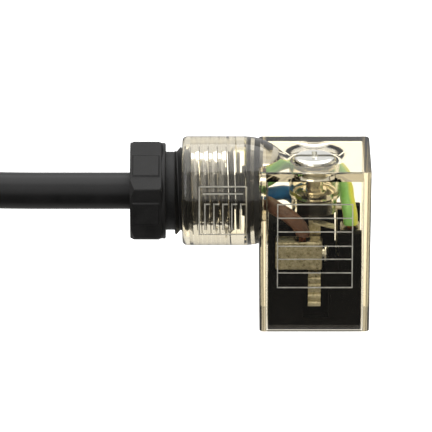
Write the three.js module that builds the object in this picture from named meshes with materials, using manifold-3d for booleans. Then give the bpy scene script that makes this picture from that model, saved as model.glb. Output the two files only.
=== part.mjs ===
// Right-angle cable plug for a solenoid valve's coil, with a clear housing and a compression gland.
// Millimetres, +Z up. The plug stands on the face that meets the coil. Inside the group "plug" the
// fixing screw's axis is x = 0, y = 0, and the cable leaves towards -X. The group is then moved along
// X so that the origin is the middle of the plug's footprint.
import * as THREE from 'three';
import { mergeVertices } from 'three/addons/utils/BufferGeometryUtils.js';
import Module from 'manifold-3d';

const wasm = await Module();
wasm.setup();

// ---- driving dimensions -------------------------------------------------------------------------
const gap = 0.3;                 // between pieces that touch on the real plug
const over = 1;                  // how far a cutting tool runs past the face that it cuts

const capWidth = 16;             // housing, along X
const capDepth = 14.6;           // housing, along Y
const capHeight = 24.4;
const capCorner = 0.7;
const capDraft = 0.18;           // each side leans in by this much from the top to the base
const sideWall = 1.05;
const frontWall = 0.85;
const topWall = 1.6;

const cableRadius = 2.65;
const sheathClearance = 0.35;    // between the cable and whatever it passes through

const barrelRadius = 7.8;
const barrelLength = 10.85;      // from the housing's side to the barrel's mouth
const barrelAxisDrop = 5.6;      // from the housing's top face down to the barrel's axis
const barrelDomeReach = 2;       // from the housing's side to the centre of the barrel's round end
const mouthDepth = 1.05;
const mouthRadius = 6.65;

const glandPitch = 1.27;
const glandCrest = 6.25;         // thread on the nut
const glandDepth = 0.61;
const glandThreadClearance = 0.2;
const glandThreadSides = 20;
const glandEngaged = 6.4;        // length of nut thread inside the housing's thread
const femaleThreadLength = 6.7;

const nutAcrossFlats = 13.65;
const nutHexLength = 4.55;
const nutSkirtLength = 0.5;
const nutSkirtRadius = 6.85;
const nutNeckLength = 1.3;
const nutNeckRadius = 5.6;
const nutTurn = 23;              // degrees, from -Y up to the nearest corner, as the nut came to rest
const nutChamfer = 0.75;

const washerThickness = 0.45;
const washerRadius = 5.5;          // passes freely through the housing thread
const grommetBody = 1.9;
const grommetHub = 0.55;
const grommetRadius = 5.9;
const grommetHubRadius = 3.6;
const seatWall = 0.65;           // wall between the gland chamber and the terminal space
const coreHoleRadius = 3.6;

const dishRadius = 5.2;
const dishDepth = 0.8;
const dishFloorRadius = 3.9;
const bossRadius = 3.6;
const bossEndRadius = 3.25;
const bossEndDrop = 8.25;        // these three count down from the housing's top face
const bossStepDrop = 6.4;
const headSeatDrop = 5.1;
const bossFloor = 0.9;
const headClearance = 0.2;

const screwRadius = 1.5;
const screwPitch = 0.5;
const screwThreadDepth = 0.3;
const screwThreadLength = 7;
const screwHeadRadius = 2.9;
const screwHeadHeight = 2;
const screwHeadSink = 0.2;       // head below the top face
const screwTipZ = 0.3;
const screwBoreClearance = 0.3;
const screwWasherThickness = 0.4;
const slotWidth = 0.75;
const slotDepth = 0.9;

const carrierClearance = 0.25;   // between the contact carrier and the housing
const carrierHeight = 14.7;
const columnRadius = 2.5;
const columnClearance = 0.3;

const contactRadius = 4.7;       // from the screw's axis to each contact
const contactWidth = 1.8;
const leafThickness = 0.3;
const leafGap = 0.6;
const leafBottomZ = 3.1;
const leafTopZ = 8.5;
const slotLength = 3.2;
const pinSlotWidth = 1.8;
const windowRight = 2.0;
const windowBottomZ = 1.9;
const windowTopZ = 6.3;

const blockLeft = -5.65;
const blockRight = 1.1;
const blockThickness = 2.8;
const blockBottomZ = 9.1;
const blockTopZ = 13.4;
const wireHoleX = -1.75;
const wireHoleRadius = 1.05;
const clampPitch = 0.4;
const clampRadius = 0.98;
const clampTravel = 0.8;
const clampHeadRadius = 1.3;
const clampHeadHeight = 0.6;
const padThickness = 0.35;
const padWidth = 1.6;
const padHeight = 1.9;
const riserThickness = 0.3;
const tabPeakZ = 15.8;
const tabEndX = 2.9;
const tabEndZ = 14.9;
const earthShift = 1.4;          // the earth terminal sits this far round its side

const coreRadius = 1.05;
const strandRadius = 0.5;
const coreEndZ = blockTopZ + 2 * gap;

const tieThickness = 0.7;
const tieWidth = 5;
const hankLift = 0.9;
const hankNearX = -52;
const hankFarX = -133;
const hankWidth = 47.8;
const hankHeight = 21.5;
const runEndX = -59.6;
const ferruleRadius = 0.75;
const ferruleLength = 6;
const ferruleCollarRadius = 1.3;
const ferruleCollarLength = 2;

// ---- sizes that follow from them ----------------------------------------------------------------
const halfWidth = capWidth / 2;
const halfDepth = capDepth / 2;
const cavityX = halfWidth - sideWall;
const cavityY = halfDepth - frontWall;
const cavityTopZ = capHeight - topWall;
const barrelAxisZ = capHeight - barrelAxisDrop;
const barrelDomeX = -halfWidth - barrelDomeReach;
const bossEndZ = capHeight - bossEndDrop;
const bossStepZ = capHeight - bossStepDrop;
const headSeatZ = capHeight - headSeatDrop;
const mouthX = -halfWidth - barrelLength;
const femaleStartX = mouthX + mouthDepth;
const femaleEndX = femaleStartX + femaleThreadLength;
const seatX = -cavityX - seatWall;
const passRadius = cableRadius + sheathClearance;
const nutTipX = femaleStartX + glandEngaged;
const nutThreadStartX = mouthX - mouthDepth;
const nutNeckX = nutThreadStartX - nutNeckLength;
const nutSkirtX = nutNeckX - nutSkirtLength;
const nutFaceX = nutSkirtX - nutHexLength;
const carrierX = cavityX - carrierClearance;
const carrierY = cavityY - carrierClearance;
const columnTopZ = headSeatZ - bossFloor - columnClearance;
const boreRadius = screwRadius + screwBoreClearance;
const screwHeadTopZ = capHeight - screwHeadSink;
const screwHeadZ = screwHeadTopZ - screwHeadHeight;
const blockY = -contactRadius - blockThickness / 2;
const blockMiddleZ = (blockBottomZ + blockTopZ) / 2;
const riserY = blockY + blockThickness + gap;
const pocketBackY = riserY + riserThickness + gap;
const padX = wireHoleX + strandRadius + gap;
const clampTipX = padX + padThickness + gap;
const clampHeadX = blockRight + gap;
const cordStartX = nutFaceX + gap;

// ---- materials ----------------------------------------------------------------------------------
const finish = (color, roughness, metalness, opacity = 1) =>
  new THREE.MeshStandardMaterial({ color, roughness, metalness, opacity, transparent: opacity < 1 });
const clearPlastic = finish('#efe6cf', 0.12, 0, 0.35);
const blackPlastic = finish('#171614', 0.45, 0);
const blackRubber = finish('#121211', 0.75, 0);
const blackSheath = finish('#1b1a18', 0.5, 0);
const nickel = finish('#b9b094', 0.35, 1);
const brightNickel = finish('#dfe2e4', 0.18, 1);
const copper = finish('#c07a4a', 0.35, 1);
const tinned = finish('#cfd2d4', 0.3, 1);
const coreFinish = {
  brown: finish('#7d5338', 0.5, 0),
  blue: finish('#2b5f94', 0.5, 0),
  green_yellow: finish('#8fb84a', 0.5, 0),
};

// ---- solids -------------------------------------------------------------------------------------
// A closed three.js geometry as a solid, turned right side out if a mirror has reversed it.
function solid(geometry) {
  const bare = geometry.clone();
  bare.deleteAttribute('normal');
  bare.deleteAttribute('uv');
  const merged = mergeVertices(bare, 1e-5);
  const points = merged.getAttribute('position').array;
  const corners = Array.from(merged.getIndex().array);
  const triangles = [];
  let volume = 0;
  for (let k = 0; k < corners.length; k += 3) {
    const [a, b, c] = corners.slice(k, k + 3);
    if (a === b || b === c || c === a) continue;
    triangles.push([a, b, c]);
    const [p, q, r] = [a, b, c].map((i) => new THREE.Vector3().fromArray(points, 3 * i));
    volume += p.dot(q.cross(r));
  }
  const facing = volume < 0 ? triangles.map(([a, b, c]) => [a, c, b]) : triangles;
  return new wasm.Manifold(new wasm.Mesh({
    numProp: 3,
    vertProperties: Float32Array.from(points),
    triVerts: Uint32Array.from(facing.flat()),
  }));
}

function geometryOf(shape) {
  const mesh = shape.getMesh();
  const geometry = new THREE.BufferGeometry();
  geometry.setAttribute('position', new THREE.BufferAttribute(Float32Array.from(mesh.vertProperties), 3));
  geometry.setIndex(Array.from(mesh.triVerts));
  geometry.computeVertexNormals();
  return geometry;
}

function joined(first, ...others) {
  return others.reduce((whole, other) => whole.add(solid(other)), solid(first));
}

function cut(whole, ...tools) {
  return tools.reduce((left, tool) => left.subtract(solid(tool)), whole);
}

// A box from its lowest corner to its highest.
function block(x0, x1, y0, y1, z0, z1) {
  return new THREE.BoxGeometry(x1 - x0, y1 - y0, z1 - z0)
    .translate((x0 + x1) / 2, (y0 + y1) / 2, (z0 + z1) / 2);
}

// A turned piece about +Z. The profile is [radius, z] pairs that start and end on the axis.
function turned(profile, sides) {
  const points = profile.map(([radius, z]) => new THREE.Vector2(radius, z));
  return new THREE.LatheGeometry(points, sides).rotateX(Math.PI / 2);
}

function cylinder(radius, z0, z1, sides) {
  return turned([[0, z0], [radius, z0], [radius, z1], [0, z1]], sides);
}

// Lays a piece made about +Z along +X, on the line that has the given y and z.
function alongX(geometry, y = 0, z = barrelAxisZ) {
  return geometry.rotateY(Math.PI / 2).translate(0, y, z);
}

function roundedOutline(halfX, halfY, corner) {
  const outline = new THREE.Shape();
  outline.absarc(halfX - corner, halfY - corner, corner, 0, Math.PI / 2);
  outline.absarc(corner - halfX, halfY - corner, corner, Math.PI / 2, Math.PI);
  outline.absarc(corner - halfX, corner - halfY, corner, Math.PI, 1.5 * Math.PI);
  outline.absarc(halfX - corner, corner - halfY, corner, 1.5 * Math.PI, 2 * Math.PI);
  outline.closePath();
  return outline;
}

function upright(outline, z0, z1, curveSegments = 4) {
  return new THREE.ExtrudeGeometry(outline, { depth: z1 - z0, bevelEnabled: false, curveSegments })
    .translate(0, 0, z0);
}

// A right-hand threaded rod about +Z, with its thread in step at z = 0 whatever its ends are, so that a
// nut and a bolt made with the same pitch mesh. Each turn has four profile points.
function threadedRod({ pitch, root, crest, from, to, sides }) {
  const flat = 0.1;
  const profile = [[0, root], [flat, root], [0.5, crest], [0.5 + flat, crest]];
  const first = Math.floor((from / pitch) * sides) - 2 * sides;
  const last = Math.ceil((to / pitch) * sides) + sides;
  const steps = last - first;
  const positions = [];
  const rows = profile.map(() => []);
  for (let i = 0; i <= steps + sides; i += 1) {
    const angle = (2 * Math.PI * (i + first)) / sides;
    const rowCount = i <= steps ? profile.length : 1;
    for (let j = 0; j < rowCount; j += 1) {
      const [share, radius] = profile[j];
      const z = pitch * ((i + first) / sides + share);
      rows[j][i] = positions.length / 3;
      positions.push(radius * Math.cos(angle), radius * Math.sin(angle), z);
    }
  }
  const vertex = (i, j) => (j < profile.length ? rows[j][i] : rows[0][i + sides]);
  const triangles = [];
  for (let i = 0; i < steps; i += 1) {
    for (let j = 0; j < profile.length; j += 1) {
      triangles.push(vertex(i, j), vertex(i + 1, j), vertex(i + 1, j + 1));
      triangles.push(vertex(i, j), vertex(i + 1, j + 1), vertex(i, j + 1));
    }
  }
  const fan = (loop, z, reversed) => {
    const centre = positions.length / 3;
    positions.push(0, 0, z);
    for (let k = 0; k < loop.length; k += 1) {
      const [a, b] = [loop[k], loop[(k + 1) % loop.length]];
      triangles.push(centre, reversed ? b : a, reversed ? a : b);
    }
  };
  const bottom = [];
  const top = [];
  for (let i = 0; i <= sides; i += 1) {
    bottom.push(vertex(i, 0));
    top.push(rows[0][steps + i]);
  }
  for (let j = profile.length - 1; j > 0; j -= 1) {
    bottom.push(vertex(0, j));
    top.push(vertex(steps, j));
  }
  fan(bottom, (pitch * first) / sides, true);
  fan(top, (pitch * (last + sides)) / sides, false);
  const rod = new THREE.BufferGeometry();
  rod.setAttribute('position', new THREE.BufferAttribute(Float32Array.from(positions), 3));
  rod.setIndex(triangles);
  return geometryOf(solid(rod).intersect(solid(cylinder(crest + over, from, to, sides))));
}

// A round tube or wire along a smooth curve through the given points.
function wire(points, radius, steps, sides = 8) {
  const outline = new THREE.Shape();
  for (let k = 0; k < sides; k += 1) {
    const angle = (2 * Math.PI * k) / sides;
    const [x, y] = [radius * Math.cos(angle), radius * Math.sin(angle)];
    if (k === 0) outline.moveTo(x, y);
    else outline.lineTo(x, y);
  }
  outline.closePath();
  const extrudePath = new THREE.CatmullRomCurve3(points.map((p) => new THREE.Vector3(...p)));
  return new THREE.ExtrudeGeometry(outline, { steps, bevelEnabled: false, extrudePath });
}

const plug = new THREE.Group();

function add(name, shape, material) {
  const geometry = shape.isBufferGeometry ? geometryOf(solid(shape)) : geometryOf(shape);
  const mesh = new THREE.Mesh(geometry, material);
  mesh.name = name;
  plug.add(mesh);
}

// ---- housing ------------------------------------------------------------------------------------
// The cap leans in towards its base, so that it leaves its mould.
function capBody() {
  const geometry = upright(roundedOutline(halfWidth, halfDepth, capCorner), 0, capHeight);
  const position = geometry.getAttribute('position');
  for (let k = 0; k < position.count; k += 1) {
    const lean = capDraft * (1 - position.getZ(k) / capHeight);
    position.setX(k, position.getX(k) * (1 - lean / halfWidth));
    position.setY(k, position.getY(k) * (1 - lean / halfDepth));
  }
  return geometry;
}

function barrelBody() {
  const profile = [[0, mouthX], [barrelRadius - capCorner, mouthX], [barrelRadius, mouthX + capCorner]];
  const steps = 8;
  for (let k = 0; k <= steps; k += 1) {
    const angle = (Math.PI / 2) * (k / steps);
    profile.push([barrelRadius * Math.cos(angle), barrelDomeX + barrelRadius * Math.sin(angle)]);
  }
  profile[profile.length - 1][0] = 0;
  return alongX(turned(profile, 40));
}

function housingShell() {
  const cavity = upright(roundedOutline(cavityX, cavityY, capCorner / 2), -over, cavityTopZ, 2);
  const chamber = cylinder(glandCrest, femaleEndX - over, seatX, 40);
  const mouth = cylinder(mouthRadius, mouthX - over, femaleStartX, 40);
  const coreHole = cylinder(coreHoleRadius, seatX - over, -cavityX + over, 24);
  const thread = threadedRod({
    pitch: glandPitch,
    root: glandCrest - glandDepth + glandThreadClearance,
    crest: glandCrest + glandThreadClearance,
    from: femaleStartX - over,
    to: femaleEndX,
    sides: glandThreadSides,
  });
  const boss = turned([
    [0, bossEndZ], [bossEndRadius, bossEndZ], [bossEndRadius, bossStepZ], [bossRadius, bossStepZ + gap],
    [bossRadius, cavityTopZ + gap], [0, cavityTopZ + gap],
  ], 28);
  const sleeve = cylinder(columnRadius + columnClearance, bossEndZ - over, headSeatZ - bossFloor, 24);
  const screwHole = cylinder(boreRadius, bossEndZ, headSeatZ + over, 20);
  const headBore = cylinder(screwHeadRadius + headClearance, headSeatZ, capHeight + over, 28);
  const dish = turned([
    [0, capHeight - dishDepth], [dishFloorRadius, capHeight - dishDepth], [dishRadius, capHeight],
    [dishRadius, capHeight + over], [0, capHeight + over],
  ], 32);
  const shell = cut(joined(capBody(), barrelBody()), cavity, alongX(chamber), alongX(mouth),
    alongX(coreHole), alongX(thread));
  return cut(shell.add(solid(boss)), sleeve, screwHole, headBore, dish);
}

// ---- terminals ----------------------------------------------------------------------------------
// Each terminal is drawn as the front one and then placed. The rear one is its mirror image, and the
// earth one is turned to the housing's closed side.
const earthPlace = new THREE.Matrix4().makeRotationZ(Math.PI / 2)
  .setPosition(carrierX - carrierY, earthShift, 0);
const terminals = [
  { name: 'front', place: new THREE.Matrix4(), screwPlace: new THREE.Matrix4() },
  {
    name: 'rear',
    place: new THREE.Matrix4().makeScale(1, -1, 1),
    screwPlace: new THREE.Matrix4().makeTranslation(0, 2 * contactRadius, 0),
  },
  { name: 'earth', place: earthPlace, screwPlace: earthPlace },
];

function terminalBlock() {
  const [y0, y1] = [blockY, blockY + blockThickness];
  const body = block(blockLeft, blockRight, y0, y1, blockBottomZ, blockTopZ);
  const screwHole = alongX(
    cylinder(clampRadius + headClearance, padX, blockRight + over, 14), -contactRadius, blockMiddleZ);
  const chamber = block(
    wireHoleX - wireHoleRadius, padX + padThickness + clampTravel + gap,
    -contactRadius - padWidth / 2 - headClearance, -contactRadius + padWidth / 2 + headClearance,
    blockMiddleZ - padHeight / 2 - gap, blockMiddleZ + padHeight / 2 + gap);
  const wireHole = cylinder(wireHoleRadius, blockMiddleZ, blockTopZ + over, 16)
    .translate(wireHoleX, -contactRadius, 0);
  return geometryOf(cut(solid(body), screwHole, chamber, wireHole));
}

// Two sprung leaves under the block, a riser behind it and a tab bent over above it.
function contact() {
  const outline = new THREE.Shape();
  const inner = leafGap / 2;
  const waves = [0.25, -0.1, 0.2, -0.1, 0.2, 0];
  const stepZ = (leafTopZ - leafBottomZ) / waves.length;
  const innerSide = waves.map((wave, k) => [inner + wave, leafBottomZ + k * stepZ]);
  const outerSide = innerSide.map(([y, z]) => [y + leafThickness, z]);
  const half = [...outerSide, [inner + leafThickness, leafTopZ]];
  const under = [...innerSide, [inner, leafTopZ - leafThickness]];
  const loop = [
    ...half,
    ...half.slice().reverse().map(([y, z]) => [-y, z]),
    ...under.map(([y, z]) => [-y, z]),
    ...under.slice().reverse(),
  ];
  loop.forEach(([y, z], k) => (k === 0 ? outline.moveTo(y, z) : outline.lineTo(y, z)));
  outline.closePath();
  const leaves = new THREE.ExtrudeGeometry(outline, { depth: contactWidth, bevelEnabled: false })
    .rotateX(Math.PI / 2)
    .rotateZ(Math.PI / 2)
    .translate(-contactWidth / 2, -contactRadius, 0);
  const halfX = contactWidth / 2;
  const foot = block(-halfX, halfX, -contactRadius, riserY + riserThickness,
    leafTopZ - leafThickness, leafTopZ);
  const riser = block(-halfX, halfX, riserY, riserY + riserThickness,
    leafTopZ - leafThickness, tabPeakZ);
  const tab = new THREE.Shape();
  tab.moveTo(0, tabPeakZ - riserThickness);
  tab.lineTo(tabEndX, tabEndZ - riserThickness);
  tab.lineTo(tabEndX, tabEndZ);
  tab.lineTo(0, tabPeakZ);
  tab.closePath();
  const tabPlate = new THREE.ExtrudeGeometry(tab, { depth: contactWidth, bevelEnabled: false })
    .rotateX(Math.PI / 2)
    .translate(0, riserY + riserThickness, 0);
  return geometryOf(joined(leaves, foot, riser, tabPlate));
}

function terminalScrew() {
  const thread = alongX(threadedRod({
    pitch: clampPitch,
    root: clampRadius * 0.78,
    crest: clampRadius,
    from: clampTipX,
    to: blockRight + gap / 2,
    sides: 12,
  }), -contactRadius, blockMiddleZ);
  const headEnd = clampHeadX + clampHeadHeight;
  const head = alongX(turned([
    [0, blockRight], [clampRadius * 0.78, blockRight], [clampRadius * 0.78, clampHeadX],
    [clampHeadRadius, clampHeadX], [clampHeadRadius, headEnd - clampHeadHeight / 2],
    [clampHeadRadius * 0.7, headEnd], [0, headEnd],
  ], 16), -contactRadius, blockMiddleZ);
  const slot = block(headEnd - clampHeadHeight / 2, headEnd + over, -contactRadius - clampHeadRadius - over,
    -contactRadius + clampHeadRadius + over, blockMiddleZ - 0.2, blockMiddleZ + 0.2);
  return geometryOf(cut(joined(thread, head), slot));
}

function clampPad() {
  return block(padX, padX + padThickness, -contactRadius - padWidth / 2, -contactRadius + padWidth / 2,
    blockMiddleZ - padHeight / 2, blockMiddleZ + padHeight / 2);
}

// ---- contact carrier ----------------------------------------------------------------------------
// What one terminal needs cut out of the carrier: its pocket, the way for its contact's foot, the slot
// for the coil's pin, the window in front of it and the narrow way that shows the leaf above it.
function terminalSpaces() {
  const halfSlot = slotLength / 2;
  const halfFoot = contactWidth / 2 + gap;
  const halfLeafWay = contactWidth / 2 + gap / 2;
  const slotY = [-contactRadius - pinSlotWidth / 2, -contactRadius + pinSlotWidth / 2];
  const pocketRight = clampHeadX + clampHeadHeight + clampTravel + 2 * gap;
  const outside = -halfWidth;
  return [
    block(blockLeft - gap, pocketRight, outside, pocketBackY, blockBottomZ - gap, carrierHeight + over),
    block(-halfFoot, halfFoot, slotY[0], pocketBackY, leafTopZ - leafThickness - gap, blockBottomZ),
    block(-halfSlot, halfSlot, slotY[0], slotY[1], -over, blockBottomZ),
    block(-halfSlot, windowRight, outside, slotY[1], windowBottomZ, windowTopZ),
    block(-halfLeafWay, halfLeafWay, outside, slotY[1], windowTopZ - over, blockBottomZ),
  ];
}

function contactCarrier() {
  const body = upright(roundedOutline(carrierX, carrierY, gap), 0, carrierHeight, 2);
  const column = cylinder(columnRadius, carrierHeight - over, columnTopZ, 24);
  const bore = cylinder(boreRadius, -over, columnTopZ + over, 20);
  const spaces = terminals.flatMap(({ place }) =>
    terminalSpaces().map((space) => space.applyMatrix4(place)));
  return cut(joined(body, column), bore, ...spaces);
}

// ---- cores --------------------------------------------------------------------------------------
// Each core leaves the cable's end, goes round the screw boss and comes down into its clamp. The
// heights in its start and middle count from the barrel's axis.
const coreStartX = seatX + gap;
const earthWire = new THREE.Vector3(wireHoleX, -contactRadius, 0).applyMatrix4(earthPlace);
const coreRoutes = {
  brown: {
    clamp: [wireHoleX, -contactRadius],
    middle: [[-5.6, -3.1, -1.3], [-3.9, -4.3, -1.9], [-2.4, -4.7, -3.1]],
    start: [-1.6, -1.1],
  },
  blue: {
    clamp: [wireHoleX, contactRadius],
    middle: [[-5.6, 2.8, -1.4], [-3.9, 4.1, -1.8], [-2.4, 4.7, -3.1]],
    start: [1.6, -1.2],
  },
  green_yellow: {
    clamp: [earthWire.x, earthWire.y],
    middle: [
      [-5.0, 2.9, 1.9], [-2.2, 4.8, 1.7], [1.5, 4.9, 1.4], [earthWire.x - 1.8, 4.2, 0.8],
      [earthWire.x - 0.7, 2.9, -0.3], [earthWire.x - 0.5, 1.4, -1.4],
      [earthWire.x - 0.25, 0.2, -2.4], [earthWire.x - 0.05, -0.25, -3.5],
    ],
    start: [0.4, 1.5],
  },
};

// A core starts straight out of the cable's end and ends straight down into its clamp.
function corePoints({ clamp, middle, start }) {
  const place = [start[0], barrelAxisZ + start[1]];
  return [
    [coreStartX, ...place],
    [coreStartX + 2 * gap, ...place],
    ...middle.map(([x, y, z]) => [x, y, barrelAxisZ + z]),
    [...clamp, coreEndZ + 2 * gap],
    [...clamp, coreEndZ],
  ];
}

// ---- gland --------------------------------------------------------------------------------------
function glandNut() {
  const corner = nutAcrossFlats / Math.sqrt(3);
  const hex = new THREE.CylinderGeometry(corner, corner, nutHexLength, 6)
    .rotateX(Math.PI / 2)
    .translate(0, 0, nutFaceX + nutHexLength / 2);
  hex.rotateZ(THREE.MathUtils.degToRad(-nutTurn));
  const chamfered = turned([
    [0, nutFaceX], [corner - nutChamfer, nutFaceX], [corner, nutFaceX + nutChamfer],
    [corner, nutSkirtX - nutChamfer / 2], [corner - nutChamfer / 2, nutSkirtX], [0, nutSkirtX],
  ], 36);
  const head = geometryOf(solid(hex).intersect(solid(chamfered)));
  const stem = turned([
    [0, nutSkirtX - gap], [nutSkirtRadius, nutSkirtX - gap], [nutSkirtRadius, nutNeckX],
    [nutNeckRadius, nutNeckX], [nutNeckRadius, nutThreadStartX + gap], [0, nutThreadStartX + gap],
  ], 32);
  const thread = threadedRod({
    pitch: glandPitch,
    root: glandCrest - glandDepth,
    crest: glandCrest,
    from: nutThreadStartX,
    to: nutTipX,
    sides: glandThreadSides,
  });
  const bore = turned([
    [0, nutFaceX - over], [passRadius + over, nutFaceX - over], [passRadius + over, nutFaceX],
    [passRadius, nutFaceX + over], [passRadius, nutTipX + over], [0, nutTipX + over],
  ], 28);
  return geometryOf(cut(joined(head, stem, thread), bore));
}

function ring(outer, inner, z0, z1) {
  return geometryOf(cut(solid(cylinder(outer, z0, z1, 32)), cylinder(inner, z0 - over, z1 + over, 24)));
}

function sealingGrommet() {
  const faceX = seatX - gap;
  const body = turned([
    [0, faceX - grommetBody - grommetHub], [grommetHubRadius, faceX - grommetBody - grommetHub],
    [grommetHubRadius, faceX - grommetBody], [grommetRadius, faceX - grommetBody],
    [grommetRadius, faceX], [0, faceX],
  ], 32);
  const hole = cylinder(passRadius, faceX - grommetBody - grommetHub - over, faceX + over, 24);
  return geometryOf(cut(solid(body), hole));
}

// ---- fixing screw -------------------------------------------------------------------------------
function fixingScrew() {
  const threadTopZ = screwTipZ + screwThreadLength;
  const shankRadius = screwRadius - screwThreadDepth;
  const thread = threadedRod({
    pitch: screwPitch,
    root: shankRadius,
    crest: screwRadius,
    from: screwTipZ,
    to: threadTopZ,
    sides: 12,
  });
  const shank = cylinder(shankRadius, threadTopZ - gap, screwHeadZ + gap, 16);
  const head = turned([
    [0, screwHeadZ], [screwHeadRadius, screwHeadZ], [screwHeadRadius, screwHeadTopZ - 0.7],
    [screwHeadRadius - 0.3, screwHeadTopZ - 0.3], [screwHeadRadius - 0.9, screwHeadTopZ],
    [0, screwHeadTopZ],
  ], 28);
  const halfSlot = slotWidth / 2;
  const slotZ = screwHeadTopZ - slotDepth;
  const slot = block(-screwHeadRadius - over, screwHeadRadius + over, -halfSlot, halfSlot, slotZ,
    screwHeadTopZ + over);
  const crossArm = block(-halfSlot, halfSlot, -screwHeadRadius * 0.6, screwHeadRadius * 0.6,
    slotZ - gap, screwHeadTopZ + over);
  return geometryOf(cut(joined(thread, shank, head), slot, crossArm));
}

// ---- cable, hank and stripped end ---------------------------------------------------------------
const hankSideY = -cableRadius;
const hankMiddleY = hankSideY + hankWidth / 2;
const cableRoute = [
  [cordStartX, 0, barrelAxisZ], [-32, 0, barrelAxisZ], [-40, 0, barrelAxisZ - 0.15],
  [-48, 0, barrelAxisZ - 0.1], [runEndX, 0, barrelAxisZ + 0.5],
];

function hankOutline(halfX, halfY) {
  const outline = new THREE.Shape();
  outline.absarc(halfX - halfY, 0, halfY, -Math.PI / 2, Math.PI / 2);
  outline.absarc(halfY - halfX, 0, halfY, Math.PI / 2, 1.5 * Math.PI);
  outline.closePath();
  return outline;
}

function cableHank() {
  const halfX = (hankNearX - hankFarX) / 2;
  return upright(hankOutline(halfX, hankWidth / 2), hankLift, hankLift + hankHeight, 12)
    .translate((hankNearX + hankFarX) / 2, hankMiddleY, 0);
}

function hankTie() {
  const middleX = (hankNearX + hankFarX) / 2;
  const [x0, x1] = [middleX - tieWidth / 2, middleX + tieWidth / 2];
  const halfY = hankWidth / 2 + gap;
  const [z0, z1] = [hankLift - gap, hankLift + hankHeight + gap];
  const inner = block(x0 - over, x1 + over, hankMiddleY - halfY, hankMiddleY + halfY, z0, z1);
  const outer = block(x0, x1, hankMiddleY - halfY - tieThickness, hankMiddleY + halfY + tieThickness,
    z0 - (hankLift - gap), z1 + tieThickness);
  return cut(solid(outer), inner);
}

const tails = [
  { name: 'brown', start: [1.55, 3.0], end: [-0.55, 1.4] },
  { name: 'blue', start: [2.65, 4.9], end: [2.65, 1.5] },
  { name: 'green_yellow', start: [3.75, 3.0], end: [5.85, 1.4] },
];
const tailStartX = hankFarX + 9.1;
const tailEndX = hankFarX - 1.5;

function tailPoints({ start, end }) {
  const middleX = (tailStartX + tailEndX) / 2;
  const middle = [(start[0] + end[0]) / 2, (start[1] + end[1]) / 2];
  return [[tailStartX, start], [middleX, middle], [tailEndX, end]]
    .map(([x, [y, z]]) => [x, hankSideY + y, z]);
}

function ferrule([y, z]) {
  const profile = [
    [0, -ferruleLength - ferruleCollarLength], [ferruleRadius, -ferruleLength - ferruleCollarLength],
    [ferruleRadius, -ferruleCollarLength], [ferruleCollarRadius, 0], [0, 0],
  ];
  return alongX(turned(profile, 12), hankSideY + y, z).translate(tailEndX - gap, 0, 0);
}

// ---- assembly -----------------------------------------------------------------------------------
add('housing_shell', housingShell(), clearPlastic);
add('contact_carrier', contactCarrier(), blackPlastic);
for (const { name, place, screwPlace } of terminals) {
  add(`contact_${name}`, contact().applyMatrix4(place), nickel);
  add(`terminal_block_${name}`, terminalBlock().applyMatrix4(place), nickel);
  add(`clamp_pad_${name}`, clampPad().applyMatrix4(place), tinned);
  add(`terminal_screw_${name}`, terminalScrew().applyMatrix4(screwPlace), brightNickel);
}
for (const [name, route] of Object.entries(coreRoutes)) {
  const [x, y] = route.clamp;
  add(`core_${name}`, wire(corePoints(route), coreRadius, 4 * (route.middle.length + 1)), coreFinish[name]);
  add(`strand_${name}`, cylinder(strandRadius, blockMiddleZ - padHeight / 2, coreEndZ - gap, 10)
    .translate(x, y, 0), copper);
}
add('cable_sheath_end', alongX(cylinder(cableRadius, cordStartX + gap, seatX - gap, 20)), blackSheath);
add('sealing_grommet', alongX(sealingGrommet()), blackRubber);
add('thrust_washer', alongX(ring(washerRadius, passRadius, nutTipX + gap, nutTipX + gap + washerThickness)),
  blackPlastic);
add('gland_nut', alongX(glandNut()), blackPlastic);
add('screw_washer', ring(screwHeadRadius, boreRadius, screwHeadZ - gap - screwWasherThickness,
  screwHeadZ - gap), brightNickel);
add('fixing_screw', fixingScrew(), brightNickel);
add('cable_run', wire(cableRoute, cableRadius, 10, 10), blackSheath);
add('cable_hank', cableHank(), blackSheath);
add('hank_tie', hankTie(), blackRubber);
for (const tail of tails) {
  add(`tail_${tail.name}`, wire(tailPoints(tail), coreRadius, 6), coreFinish[tail.name]);
  add(`ferrule_${tail.name}`, ferrule(tail.end), tinned);
}

plug.position.x = -(nutFaceX + halfWidth) / 2;

export default plug;
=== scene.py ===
"""Right-angle plug for a solenoid valve coil: clear housing, cable gland, contact insert, cable."""
import math

import bmesh
import bpy
from mathutils import Matrix, Vector


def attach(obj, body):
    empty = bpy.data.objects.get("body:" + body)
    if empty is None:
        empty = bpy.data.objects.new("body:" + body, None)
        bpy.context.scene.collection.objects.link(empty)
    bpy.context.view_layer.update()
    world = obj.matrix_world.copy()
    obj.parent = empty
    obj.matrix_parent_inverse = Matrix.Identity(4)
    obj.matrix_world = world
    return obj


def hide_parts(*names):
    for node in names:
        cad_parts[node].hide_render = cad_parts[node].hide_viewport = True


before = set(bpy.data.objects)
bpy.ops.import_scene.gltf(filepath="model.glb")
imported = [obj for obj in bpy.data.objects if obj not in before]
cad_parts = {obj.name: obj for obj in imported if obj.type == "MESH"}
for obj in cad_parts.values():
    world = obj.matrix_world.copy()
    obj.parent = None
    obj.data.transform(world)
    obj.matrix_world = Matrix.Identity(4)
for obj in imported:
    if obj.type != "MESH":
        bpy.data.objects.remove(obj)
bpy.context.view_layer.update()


# ---- Camera --------------------------------------------------------------------------------------
# A long lens square to the plug's side, looking down at it by about 22 degrees.
# It stands about three quarters of a metre away.
MM = 0.001
aim = Vector((-4.91, 1.005, 14.495)) * MM
camera_height_deg = 21.94
camera_distance = 783.8 * MM
camera_data = bpy.data.cameras.new("camera")
camera_data.lens = 456.0
camera_data.sensor_width = 36.0
camera_data.clip_start = 0.05
camera_data.clip_end = 10.0
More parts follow.
